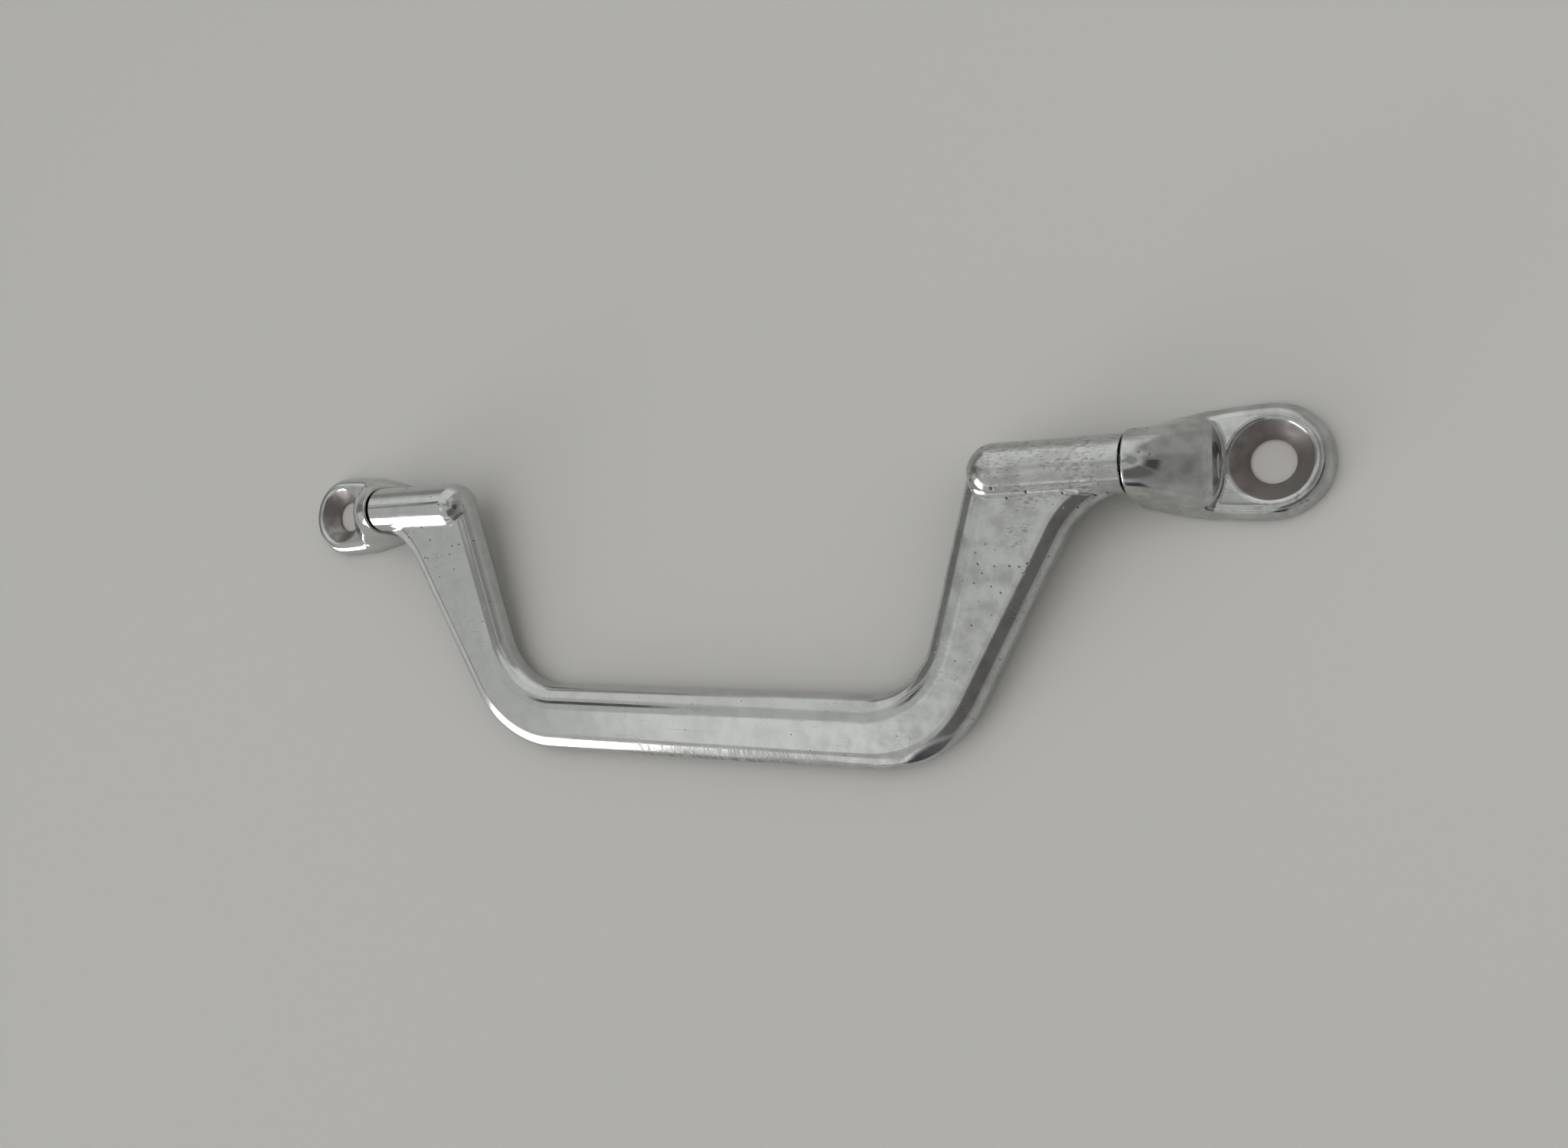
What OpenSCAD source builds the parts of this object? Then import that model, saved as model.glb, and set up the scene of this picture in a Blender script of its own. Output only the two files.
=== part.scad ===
// Swinging pull handle for a drawer, chest or lid: one cast bail that turns on its own
// short spigots between two screw-on brackets. The hinge runs along X, the furniture
// face is z = 0, and the bail lies down towards -Y. Lengths in millimetres.

/* [Fixing] */
// Distance between the two screw holes
hole_spacing = 160; // [130:1:260]
// Diameter of each screw hole
screw_d = 5.3; // [3.5:0.1:6]
// Diameter of the countersink at the pad's face, cut at 90 degrees
countersink_d = 10; // [8:0.1:10.8]

/* [Bracket pad] */
// Thickness of the pad round the screw
pad_t = 2.8; // [2.6:0.1:4]
// Metal from the countersink's edge to the pad's outline
rim_w = 2; // [1.5:0.1:4]
// Radius of the rounded rim, seen in section
rim_r = 2.5; // [1.2:0.1:4]
// Upright part of the rim, below its round
rim_foot = 0.6; // [0.3:0.1:1.5]

/* [Bracket dome] */
// Length of the dome, from the foot of its step to the mouth
dome_l = 10.2; // [8:0.1:16]
// Flat land between the countersink and the foot of the step
step_land = 0.35; // [0.2:0.05:2]
// Height of the step above the pad, at its middle
step_h = 2.2; // [1:0.1:3]
// Radius of the step's foot, seen from above
step_r = 17; // [12:0.5:40]
// Lean of the step's wall from upright
step_lean = 14; // [5:1:25]
// Radius of the crown over the mouth, seen from the side
crown_r = 8.5; // [5:0.1:9]
// Fall of the dome's top line where it leaves the mouth, in degrees
crown_fall = 4; // [0:0.5:8]
// Power of the oval arch at the step: 2 is an ellipse, less is more pointed
step_power = 1.65; // [1.4:0.05:2.2]

/* [Hinge] */
// Height of the hinge axis above the furniture face
hinge_h = 6.7; // [6:0.1:10]
// Diameter of the bail's barrels
barrel_d = 7.4; // [6:0.1:9]
// How far the mouth stands proud of the barrel, all round
mouth_lip = 0.45; // [0.3:0.05:1.5]
// How far the mouth's sides spread from the hinge's height to their foot
mouth_flare = 0.55; // [0.2:0.05:1]
// Diameter of the spigot on each barrel's end
spigot_d = 3.2; // [2:0.1:3.6]
// Length of the spigot beyond the barrel's shoulder
spigot_l = 4; // [2.5:0.1:4.5]
// Running clearance round the spigot, on the radius
spigot_clear = 0.05; // [0.02:0.01:0.1]
// Gap between the barrel's shoulder and the mouth, and past the spigot's tip
end_gap = 0.3; // [0.15:0.05:0.6]

/* [Bail] */
// Length of each barrel, from its shoulder to the tip of its round nose
barrel_l = 20.4; // [16:0.1:26]
// Thickness of the arms and the bar
bail_t = 4.3; // [3.2:0.1:5]
// Height of their upper face above the hinge axis, with the bail level
web_rise = 2.3; // [1.8:0.1:2.8]
// Radius of their upper edges, seen in section
brow_r = 2.5; // [1.5:0.1:3.5]
// Radius of their lower edges
sole_r = 0.9; // [0.4:0.1:1.2]
// From the hinge axis to the bar's inner edge: the depth for the fingers
finger_depth = 29.5; // [22:0.5:45]
// Width of the bar
bar_w = 10.2; // [8:0.1:16]
// Lean of the arms' inner edges from square to the hinge
inner_lean = 16.1; // [5:0.1:25]
// Lean of the arms' outer edges from square to the hinge
outer_lean = 28.8; // [15:0.1:35]
// From the barrel's shoulder to the outer edge's corner with the barrel
root_inset = 4.9; // [4:0.1:8]
// Radius of the gusset that fills that corner
gusset_r = 11; // [3:0.1:14]
// Radius of the bend between arm and bar, on the fingers' side
inner_bend_r = 10.5; // [5:0.1:16]
// Radius of the bend between arm and bar, on the outside
outer_bend_r = 18; // [8:0.1:24]
// Gap left under the bar's edge when the bail lies down
rest_gap = 0.05; // [0.02:0.01:0.5]

/* [Hidden] */
$fn = 96;
chrome = [0.585, 0.59, 0.58];

// Bracket sizes, from the screw hole outwards and along the dome
end_r = countersink_d / 2 + rim_w;
step_d = countersink_d / 2 + step_land;
mouth_d = step_d + dome_l;
mouth_r = barrel_d / 2 + mouth_lip;
mouth_h = hinge_h + mouth_r;
foot_w = mouth_r + mouth_flare;
flank_fall = end_r - foot_w;
flank_r = (mouth_d * mouth_d + flank_fall * flank_fall) / (2 * flank_fall);
bore_r = spigot_d / 2 + spigot_clear;
bore_depth = end_gap + spigot_l + end_gap;
countersink_h = (countersink_d - screw_d) / 2;

// How far the dome's foot stands outside the plate that it grows from
foot_proud = 0.03;
// How far a cutting tool runs past the face that it opens
overcut = 1;
// The same for the countersink, whose tool stays clear of the step's wall
seat_overcut = step_land / 2;

// The dome's top line: an arc from the mouth, then its tangent to the step's top edge
step_top = [dome_l - step_h * tan(step_lean), pad_t + step_h];
crown_c = [-crown_r * sin(crown_fall), mouth_h - crown_r * cos(crown_fall)];
to_step = step_top - crown_c;
crown_end = atan2(to_step[1], to_step[0]) + acos(crown_r / norm(to_step));
crown_l = crown_c[0] + crown_r * cos(crown_end);
dome_stations = 16;
arch_steps = 33;

// Bail sizes: u runs along the hinge from the middle, v away from the hinge
barrel_r = barrel_d / 2;
web_foot = web_rise - bail_t;
// Upright part of an edge, between its lower and its upper round
edge_land = 0.1;
brow = min(brow_r, bail_t - sole_r - edge_land);
shoulder_u = hole_spacing / 2 - mouth_d - end_gap;
nose_u = shoulder_u - barrel_l + barrel_r;
bar_v = finger_depth + bar_w;
// Farthest height of an edge's upright part from the hinge axis, and the barrel's half width there
root_w = max(abs(web_foot + sole_r), abs(web_rise - brow));
root_r = sqrt(barrel_r * barrel_r - root_w * root_w);
// How far the web's edges lie inside the barrel and inside its nose where they run into them
root_sink = 0.3;
nose_sink = 0.1;
root_v = root_r - root_sink;
inner_off = root_r - nose_sink;
outer_off = (shoulder_u - root_inset) * cos(outer_lean) + root_v * sin(outer_lean);
gusset_v = root_v + gusset_r;
gusset_c = [(outer_off + gusset_r - gusset_v * sin(outer_lean)) / cos(outer_lean), gusset_v];
// Plain barrel left between the gusset and the shoulder, which cuts a wide gusset short
root_land = 0.2;
gusset_start = 270 - asin(max(0, gusset_c[0] - shoulder_u + root_land) / gusset_r);
gusset_end = 180 + outer_lean;
outer_v = bar_v - outer_bend_r;
outer_c = [(outer_off - outer_bend_r - outer_v * sin(outer_lean)) / cos(outer_lean), outer_v];
inner_v = finger_depth - inner_bend_r;
inner_c = [
    nose_u - (inner_off + inner_bend_r + inner_v * sin(inner_lean)) / cos(inner_lean),
    inner_v
];
// Angle at which the bail lies when the bar's lower edge comes down to the furniture face
sole_c = [bar_v - sole_r, web_foot + sole_r];
rest_tilt = asin((hinge_h - sole_r - rest_gap) / norm(sole_c)) + atan2(sole_c[1], sole_c[0]);
gusset_steps = 8;
bend_steps = 10;
brow_steps = 8;
sole_steps = 3;

// Height of the dome's top line at a distance from the mouth
function top_line(t) =
    t < crown_l
    ? crown_c[1] + sqrt(crown_r * crown_r - pow(t - crown_c[0], 2))
    : step_top[1] + (step_top[0] - t) / tan(crown_end);

// Half the bracket's width at a distance from the screw hole, towards the mouth
function half_width(d) = end_r - flank_r + sqrt(flank_r * flank_r - d * d);

// A number's power that keeps its sign
function signed_pow(x, p) = sign(x) * pow(abs(x), p);

// The mouth's arch, spread sides under a half circle, as shares of its width and height
function mouth_arch(a) =
    let (up = min(a, 180 - a) / 45)
    up < 1
    ? [sign(90 - a) * (foot_w - mouth_flare * up) / foot_w, hinge_h * up / mouth_h]
    : [mouth_r * cos(2 * a - 90) / foot_w, (hinge_h + mouth_r * sin(2 * a - 90)) / mouth_h];

// The step's arch, a pointed oval, as shares of its width and height
function step_arch(a) = [
    signed_pow(cos(a), 2 / step_power),
    signed_pow(sin(a), 2 / step_power)
];

// One arch of the dome, which changes from the mouth's form to the step's
function dome_arch(t) =
    let (
        blend = min(t / dome_l, 1),
        w = half_width(mouth_d - t) + foot_proud,
        h = top_line(t)
    )
    [
        for (i = [0:arch_steps])
        let (
            a = 180 * i / arch_steps,
            share = (1 - blend) * mouth_arch(a) + blend * step_arch(a)
        )
        [t - mouth_d, w * share[0], h * share[1]]
    ];

// Skin of a solid that runs through loops of equal even length. Each end is closed by a
// ladder of rungs across the loop, because a loop may be bent and its sides may be straight
module loft(loops) {
    n = len(loops[0]);
    m = len(loops);
    walls = [
        for (j = [0:m - 2], i = [0:n - 1])
        [(j + 1) * n + i, (j + 1) * n + (i + 1) % n, j * n + (i + 1) % n, j * n + i]
    ];
    rungs = [for (i = [0:n / 2 - 2]) [i, i + 1, n - 2 - i, n - 1 - i]];
    far_end = [for (rung = rungs) [for (i = [3:-1:0]) (m - 1) * n + rung[i]]];
    polyhedron(
        points = [for (loop = loops) each loop],
        faces = concat(walls, rungs, far_end),
        convexity = 6
    );
}

// Section of the pad from the axis of a round plate to its rim
module rim_section(r) {
    intersection() {
        square([r, pad_t]);
        union() {
            square([r, rim_foot]);
            square([r - rim_r, pad_t]);
            translate([r - rim_r, rim_foot])
                circle(rim_r);
        }
    }
}

// Wide round plate whose rim makes one long flank of the bracket
module flank_disc(side) {
    translate([0, side * (end_r - flank_r), 0])
        rotate_extrude()
            rim_section(flank_r);
}

// Plate under the whole bracket: a round end that is tangent to two long flank arcs
module bracket_plate() {
    rotate([0, 0, -90])
        rotate_extrude(angle = 180)
            rim_section(end_r);
    intersection() {
        flank_disc(1);
        flank_disc(-1);
        translate([overcut - mouth_d, -end_r, 0])
            cube([mouth_d - overcut, 2 * end_r, pad_t]);
    }
}

// Dome over the spigot, lofted from the mouth towards the screw and cut off by the step
module bracket_dome() {
    run = dome_l + step_land;
    loops = [for (j = [0:dome_stations]) dome_arch(run * j / dome_stations)];
    lean = tan(step_lean);
    cone_h = mouth_h + overcut;
    intersection() {
        loft(loops);
        translate([-step_d - step_r, 0, 0])
            cylinder(
                h = cone_h,
                r1 = step_r + pad_t * lean,
                r2 = step_r + (pad_t - cone_h) * lean
            );
    }
}

// One bracket with its screw hole at the origin and its mouth towards -X
module bracket() {
    difference() {
        union() {
            bracket_plate();
            bracket_dome();
        }
        translate([0, 0, -overcut])
            cylinder(h = pad_t + 2 * overcut, d = screw_d);
        translate([0, 0, pad_t - countersink_h])
            cylinder(
                h = countersink_h + seat_overcut,
                d1 = screw_d,
                d2 = countersink_d + 2 * seat_overcut
            );
        translate([-mouth_d - overcut, 0, hinge_h])
            rotate([0, 90, 0])
                cylinder(h = bore_depth + overcut, r = bore_r);
    }
}

// A point of the outline and its outward direction, on an arc
function arc_edge(c, r, a, turn) = [c + r * [cos(a), sin(a)], turn * [cos(a), sin(a)]];

// The outer edge's stations from the barrel to the bar
function outer_edge() = concat(
    [
        for (i = [0:gusset_steps])
        arc_edge(
            gusset_c,
            gusset_r,
            gusset_start + (gusset_end - gusset_start) * i / gusset_steps,
            -1
        )
    ],
    [
        for (i = [0:bend_steps])
        arc_edge(outer_c, outer_bend_r, outer_lean + (90 - outer_lean) * i / bend_steps, 1)
    ]
);

// The inner edge's stations, as many as the outer edge's, from inside the nose to the bar
function inner_edge() =
    let (
        bend = [
            for (i = [0:bend_steps])
            arc_edge(inner_c, inner_bend_r, inner_lean + (90 - inner_lean) * i / bend_steps, -1)
        ],
        facing = -[cos(inner_lean), sin(inner_lean)],
        start = [nose_u, 0] + inner_off * facing
    )
    concat(
        [
            for (i = [0:gusset_steps])
            [start + (bend[0][0] - start) * i / (2 * gusset_steps), facing]
        ],
        bend
    );

// A point of an edge's section: how far inside the outline, and at what height
function edge_point(station, side, inset, height) =
    let (p = station[0] - inset * station[1])
    [side * p[0], -p[1], height];

// Section of an edge at a station: its small lower round, then its wide upper round
function edge_section(station, side) = concat(
    [
        for (k = [0:sole_steps])
        let (a = 90 * k / sole_steps)
        edge_point(station, side, sole_r * (1 - sin(a)), web_foot + sole_r * (1 - cos(a)))
    ],
    [
        for (k = [0:brow_steps])
        let (a = 90 * k / brow_steps)
        edge_point(station, side, brow * (1 - cos(a)), web_rise - brow * (1 - sin(a)))
    ]
);

// One section of the web: the outer edge upwards, then the inner edge downwards
function web_section(outer, inner, side) =
    let (up = edge_section(inner, side))
    concat(edge_section(outer, side), [for (k = [len(up) - 1:-1:0]) up[k]]);

// Arms and bar as one flat web, rounded off above and flat below
module bail_web() {
    outer = outer_edge();
    inner = inner_edge();
    count = len(outer);
    right = [for (j = [0:count - 1]) web_section(outer[j], inner[j], 1)];
    left = [for (j = [count - 1:-1:0]) web_section(outer[j], inner[j], -1)];
    loft(concat(right, left));
}

// Half section of a barrel, its nose and its spigot, with the hinge axis upright
module barrel_section() {
    intersection() {
        translate([0, -barrel_r])
            square([barrel_r, barrel_r + barrel_l + spigot_l]);
        union() {
            circle(barrel_r);
            square([barrel_r, barrel_l - barrel_r]);
            square([spigot_d / 2, barrel_l - barrel_r + spigot_l]);
        }
    }
}

// One barrel with its spigot, on the side that the sign gives
module barrel(side) {
    translate([side * nose_u, 0, 0])
        rotate([0, side * 90, 0])
            rotate_extrude()
                barrel_section();
}

module bail() {
    color(chrome)
        translate([0, 0, hinge_h])
            rotate([rest_tilt, 0, 0]) {
                bail_web();
                barrel(1);
                barrel(-1);
            }
}

module right_bracket() {
    color(chrome)
        translate([hole_spacing / 2, 0, 0])
            bracket();
}

module left_bracket() {
    color(chrome)
        mirror([1, 0, 0])
            translate([hole_spacing / 2, 0, 0])
                bracket();
}

bail();
left_bracket();
right_bracket();
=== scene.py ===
"""Visual model of a swinging furniture pull: a chromed bail between two screw-on brackets.

Each casting is an implicit solid. A Geometry Nodes tree samples its distance field on a
grid, skins it, and slides every vertex onto the true surface, so that the polished metal
reflects without facets and every crease keeps its small cast fillet. Sizes are in
millimetres inside the trees and in metres outside them.
"""

import logging
from abc import ABC, abstractmethod
from dataclasses import dataclass, fields
from enum import Enum
from types import SimpleNamespace

import bpy
import numpy as np
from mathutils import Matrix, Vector


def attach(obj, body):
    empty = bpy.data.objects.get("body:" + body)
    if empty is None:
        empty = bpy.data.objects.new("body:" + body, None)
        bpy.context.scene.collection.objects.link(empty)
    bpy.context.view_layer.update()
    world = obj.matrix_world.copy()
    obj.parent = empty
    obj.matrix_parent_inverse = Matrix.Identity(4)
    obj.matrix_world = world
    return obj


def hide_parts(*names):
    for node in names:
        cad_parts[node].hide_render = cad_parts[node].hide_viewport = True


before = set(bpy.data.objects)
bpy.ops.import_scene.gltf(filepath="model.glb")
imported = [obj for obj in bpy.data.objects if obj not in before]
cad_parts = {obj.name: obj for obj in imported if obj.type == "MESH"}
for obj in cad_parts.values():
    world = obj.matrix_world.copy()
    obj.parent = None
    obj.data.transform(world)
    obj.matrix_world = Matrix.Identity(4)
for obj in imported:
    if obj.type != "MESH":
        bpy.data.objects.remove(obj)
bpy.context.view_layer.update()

LOG = logging.getLogger("pull_handle")
MM = 0.001

Number = "Wire | float"
Triple = tuple[float, float, float]


class Side(Enum):
    """End of the handle that a bracket belongs to, with its sign along the hinge."""

    LEFT = -1.0
    RIGHT = 1.0


class Wire:
    """One output of a node. Arithmetic on it adds the nodes that come after it."""

    def __init__(self, graph: "Graph", socket: bpy.types.NodeSocket) -> None:
        """Hold the graph that the nodes go to and the socket that gives the value."""
        self.graph = graph
        self.socket = socket

    def __add__(self, other: Number) -> "Wire":
        """Add a number or a wire."""
        return self.graph.math("ADD", self, other)

    def __sub__(self, other: Number) -> "Wire":
        """Take a number or a wire away."""
        return self.graph.math("SUBTRACT", self, other)

    def __rsub__(self, other: Number) -> "Wire":
        """Take this wire away from a number."""
        return self.graph.math("SUBTRACT", other, self)

    def __mul__(self, other: Number) -> "Wire":
        """Multiply by a number or a wire."""
        return self.graph.math("MULTIPLY", self, other)

    def __truediv__(self, other: Number) -> "Wire":
        """Divide by a number or a wire."""
        return self.graph.math("DIVIDE", self, other)

    def __pow__(self, other: Number) -> "Wire":
        """Raise to a power."""
        return self.graph.math("POWER", self, other)

    def __neg__(self) -> "Wire":
        """Change the sign."""
        return self.graph.math("MULTIPLY", self, -1.0)

    def __abs__(self) -> "Wire":
        """Drop the sign."""
        return self.graph.math("ABSOLUTE", self)

    def __gt__(self, other: Number) -> "Wire":
        """Give 1 where this is more than the other, else 0."""
        return self.graph.math("GREATER_THAN", self, other)


class Graph:
    """Writes nodes into one tree from formulas on wires and numbers."""

    SPOT_LEAST = 0.15
    SPOT_CORE = 0.5

    def __init__(self, tree: bpy.types.NodeTree) -> None:
        """Hold the tree that the nodes go to."""
        self.tree = tree

    def node(self, kind: str, **settings: object) -> bpy.types.Node:
        """Add a node and set its properties.

        Args:
            kind: Blender's name for the node type.
            **settings: Properties of the node and their values.

        Returns:
            The new node.
        """
        node = self.tree.nodes.new(kind)
        for name, value in settings.items():
            setattr(node, name, value)
        return node

    def feed(self, socket: bpy.types.NodeSocket, value: object) -> None:
        """Link a wire to an input, or set the input to a plain value."""
        if isinstance(value, Wire):
            self.tree.links.new(value.socket, socket)
        else:
            socket.default_value = value

    def wire(self, node: bpy.types.Node, output: int | str = 0) -> Wire:
        """Give the wire that leaves one output of a node."""
        return Wire(self, node.outputs[output])

    def math(self, operation: str, *values: Number) -> Wire:
        """Add one arithmetic node.

        Args:
            operation: Blender's name for the operation.
            *values: Its operands, wires or numbers.

        Returns:
            The result.
        """
        node = self.node("ShaderNodeMath", operation=operation)
        for socket, value in zip(node.inputs, values):
            self.feed(socket, value)
        return self.wire(node)

    def least(self, first: Number, *others: Number) -> Wire:
        """Give the smallest of the values."""
        for other in others:
            first = self.math("MINIMUM", first, other)
        return first

    def most(self, first: Number, *others: Number) -> Wire:
        """Give the largest of the values."""
        for other in others:
            first = self.math("MAXIMUM", first, other)
        return first

    def length(self, first: Wire, *others: Wire) -> Wire:
        """Give the length of a vector from its components."""
        total = first * first
        for other in others:
            total = self.math("MULTIPLY_ADD", other, other, total)
        return self.math("SQRT", total)

    def choose(self, test: Wire, yes: Number, no: Number) -> Wire:
        """Give one value where the test is 1, another where it is 0, and a mix between."""
        node = self.node("ShaderNodeMix", data_type="FLOAT")
        for index, value in ((0, test), (2, no), (3, yes)):
            self.feed(node.inputs[index], value)
        return self.wire(node)

    def ramp(self, value: Wire, low: Number, high: Number) -> Wire:
        """Rise from 0 to 1 while a value goes from low to high, with eased ends.

        Args:
            value: What is measured.
            low: The value that gives 0.
            high: The value that gives 1.

        Returns:
            The share, from 0 to 1.
        """
        node = self.node("ShaderNodeMapRange", interpolation_type="SMOOTHSTEP")
        for name, given in (("Value", value), ("From Min", low), ("From Max", high)):
            self.feed(node.inputs[name], given)
        return self.wire(node)

    def sine(self, degrees: Wire) -> Wire:
        """Give the sine of an angle in degrees."""
        return self.math("SINE", self.math("RADIANS", degrees))

    def cosine(self, degrees: Wire) -> Wire:
        """Give the cosine of an angle in degrees."""
        return self.math("COSINE", self.math("RADIANS", degrees))

    def round_union(self, a: Wire, b: Wire, radius: Number) -> Wire:
        """Join two solids with a hollow fillet of a radius along their crease."""
        reach_a = self.most(radius - a, 0.0)
        reach_b = self.most(radius - b, 0.0)
        return self.most(self.least(a, b), radius) - self.length(reach_a, reach_b)

    def round_cut(self, a: Wire, b: Wire, radius: Number) -> Wire:
        """Keep what two solids share, with its edge rounded to a radius."""
        over_a = self.most(a + radius, 0.0)
        over_b = self.most(b + radius, 0.0)
        return self.least(self.most(a, b), -radius) + self.length(over_a, over_b)

    def separate(self, vector: Wire) -> tuple[Wire, Wire, Wire]:
        """Give the three components of a vector."""
        node = self.node("ShaderNodeSeparateXYZ")
        self.feed(node.inputs[0], vector)
        return tuple(self.wire(node, axis) for axis in "XYZ")

    def combine(self, *parts: Number) -> Wire:
        """Give a vector from three components."""
        node = self.node("ShaderNodeCombineXYZ")
        for socket, part in zip(node.inputs, parts):
            self.feed(socket, part)
        return self.wire(node)

    def noise(self, place: Wire, scale: Number, detail: float, seed: float) -> Wire:
        """Give smooth noise at a place, about 0.5 on average.

        Args:
            place: Where it is read.
            scale: Waves for each unit of length.
            detail: How many finer octaves are added.
            seed: Which of the endless noises it is.

        Returns:
            The noise, mostly between 0.2 and 0.8.
        """
        node = self.node("ShaderNodeTexNoise", noise_dimensions="4D")
        for name, value in (("Vector", place), ("W", seed), ("Scale", scale), ("Detail", detail)):
            self.feed(node.inputs[name], value)
        return self.wire(node)

    def spots(self, place: Wire, scale: float, share: float, spread: float) -> Wire:
        """Give round spots of mixed sizes, strewn at random.

        Args:
            place: Where they are read.
            scale: Places for a spot in each unit of length.
            share: Which share of the places holds a spot.
            spread: Radius of the largest spot, as a share of a place.

        Returns:
            1 in a spot and 0 outside it, with a soft edge.
        """
        cells = self.node("ShaderNodeTexVoronoi", feature="F1")
        self.feed(cells.inputs["Vector"], place)
        self.feed(cells.inputs["Scale"], scale)
        chance, _, size = self.separate(self.wire(cells, "Color"))
        size = size * size * (1.0 - self.SPOT_LEAST) + self.SPOT_LEAST
        radius = (chance > 1.0 - share) * size * spread
        away = self.wire(cells, "Distance")
        return (radius > 0.0) * (1.0 - self.ramp(away, radius * self.SPOT_CORE, radius))

    def paint(self, share: Wire, over: object, under: object) -> Wire:
        """Give one colour laid over another by a share from 0 to 1."""
        node = self.node("ShaderNodeMix", data_type="RGBA")
        for index, value in ((0, share), (6, under), (7, over)):
            if isinstance(value, tuple):
                value = (*value, 1.0)
            self.feed(node.inputs[index], value)
        return self.wire(node, 2)

    def stretch(self, place: Wire, turn: Triple, scale: Triple) -> Wire:
        """Turn a place and stretch it along its axes, for scratches that run one way."""
        node = self.node("ShaderNodeMapping", vector_type="POINT")
        self.feed(node.inputs["Vector"], place)
        self.feed(node.inputs["Rotation"], turn)
        self.feed(node.inputs["Scale"], scale)
        return self.wire(node)


@dataclass
class CastPiece(ABC):
    """A casting given by the distance from its surface, with its sizes in millimetres."""

    name: str
    voxel: float

    PROBE = 0.03
    SLIDES = 3
    OUTSIDE = -1.0
    WAVE_DETAIL = 1.0
    WAVE_SEED = 0.0
    FACING = "facing"
    BARE = "bare"

    @abstractmethod
    def distance(self, graph: Graph, size: SimpleNamespace, place: Wire) -> Wire:
        """Write the distance from the surface, negative inside, as nodes.

        Args:
            graph: Where the nodes go.
            size: A wire for each size of the piece.
            place: The point that is measured, in millimetres in the part's frame.

        Returns:
            The distance in millimetres.
        """

    @abstractmethod
    def reach(self) -> tuple[Triple, Triple]:
        """Give the corners of a box that holds the piece, in millimetres."""

    def polish(self, graph: Graph, size: SimpleNamespace, place: Wire, solid: Wire) -> Wire:
        """Add the slight waves that polishing leaves on a solid.

        Args:
            graph: Where the nodes go.
            size: A wire for each size of the piece.
            place: The point that is measured.
            solid: The distance there from the surface without waves.

        Returns:
            The distance from the waved surface.
        """
        wave = graph.noise(place, size.wave_scale, self.WAVE_DETAIL, self.WAVE_SEED) - 0.5
        return solid + wave * size.polish_wave * 2.0

    def sizes(self) -> dict[str, float]:
        """Give the piece's sizes by name."""
        skipped = ("name", "voxel")
        named = {f.name: getattr(self, f.name) for f in fields(self) if f.name not in skipped}
        return {name: value for name, value in named.items() if isinstance(value, float)}

    def add_size_inputs(self, tree: bpy.types.NodeTree) -> dict[str, str]:
        """Give a tree one named input for each size.

        Args:
            tree: The tree that gets the inputs.

        Returns:
            The identifier of each size's input.
        """
        identifiers = {}
        for name in self.sizes():
            socket = tree.interface.new_socket(name, in_out="INPUT", socket_type="NodeSocketFloat")
            identifiers[name] = socket.identifier
        return identifiers

    def distance_tree(self) -> bpy.types.NodeTree:
        """Make the node group that measures the distance at any point.

        Returns:
            A group with a position and the sizes as inputs and the distance as output.
        """
        tree = bpy.data.node_groups.new(f"{self.name}_distance", "GeometryNodeTree")
        graph = Graph(tree)
        tree.interface.new_socket("Position", in_out="INPUT", socket_type="NodeSocketVector")
        self.add_size_inputs(tree)
        tree.interface.new_socket("Distance", in_out="OUTPUT", socket_type="NodeSocketFloat")
        given = graph.node("NodeGroupInput")
        size = SimpleNamespace(**{name: graph.wire(given, name) for name in self.sizes()})
        result = self.distance(graph, size, graph.wire(given, "Position"))
        graph.feed(graph.node("NodeGroupOutput").inputs["Distance"], result)
        return tree

    def skin_tree(self) -> tuple[bpy.types.NodeTree, dict[str, str]]:
        """Make the tree that skins the distance field and slides the skin onto it.

        Returns:
            The tree and the identifier of each of its inputs.
        """
        tree = bpy.data.node_groups.new(f"{self.name}_skin", "GeometryNodeTree")
        graph = Graph(tree)
        tree.interface.new_socket("Geometry", in_out="OUTPUT", socket_type="NodeSocketGeometry")
        identifiers = self.add_size_inputs(tree)
        finish = tree.interface.new_socket(
            "finish", in_out="INPUT", socket_type="NodeSocketMaterial"
        )
        identifiers["finish"] = finish.identifier
        given = graph.node("NodeGroupInput")
        measure = self.distance_tree()
        here = graph.wire(graph.node("GeometryNodeInputPosition"))

        def distance_at(offset: Triple) -> Wire:
            """Give the distance at the current point moved by an offset."""
            moved = graph.node("ShaderNodeVectorMath", operation="ADD")
            graph.feed(moved.inputs[0], here)
            graph.feed(moved.inputs[1], offset)
            call = graph.node("GeometryNodeGroup", node_tree=measure)
            graph.feed(call.inputs["Position"], graph.wire(moved))
            for name in self.sizes():
                graph.feed(call.inputs[name], graph.wire(given, name))
            return graph.wire(call, "Distance")

        centre = distance_at((0.0, 0.0, 0.0))
        slopes = []
        for axis in range(3):
            step = tuple(self.PROBE if i == axis else 0.0 for i in range(3))
            back = tuple(-value for value in step)
            slopes.append((distance_at(step) - distance_at(back)) / (2 * self.PROBE))
        steepness = graph.length(*slopes)
        pull = -centre / (steepness * steepness)
        slide = graph.combine(*(pull * slope for slope in slopes))
        normal = graph.combine(*(slope / steepness for slope in slopes))

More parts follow.
